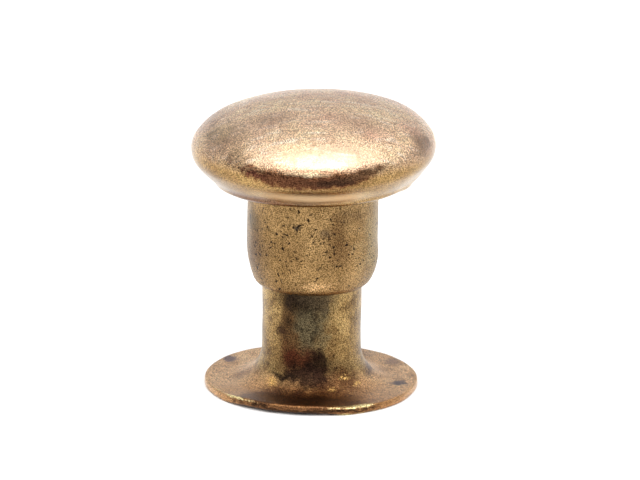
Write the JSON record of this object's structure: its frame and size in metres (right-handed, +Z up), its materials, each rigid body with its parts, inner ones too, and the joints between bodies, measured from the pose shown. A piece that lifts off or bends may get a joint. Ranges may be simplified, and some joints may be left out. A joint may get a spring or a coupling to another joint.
{
  "type": "single cap rivet",
  "caption": "Single cap rivet in antique brass: a domed cap on a socket tube with a closed-in nose, snapped over a hollow post that flares into a flat flange.",
  "frame": {"origin": "centre of the underside of the post's flange, on the surface that the rivet stands on", "axes": "+Z up the post to the cap; X and Y are alike, because every piece is round"},
  "size_m": [0.0044, 0.0044, 0.0055],
  "materials": {
    "shell_brass": "antique plated, tumbled, worn bright on the edges",
    "socket_brass": "antique plated, fine pits, dull",
    "post_brass": "antique plated, stained dark in patches"
  },
  "bodies": {
    "root": {"cap_shell": "shell_brass", "socket_tube": "socket_brass", "post": "post_brass"}
  },
  "joints": []
}
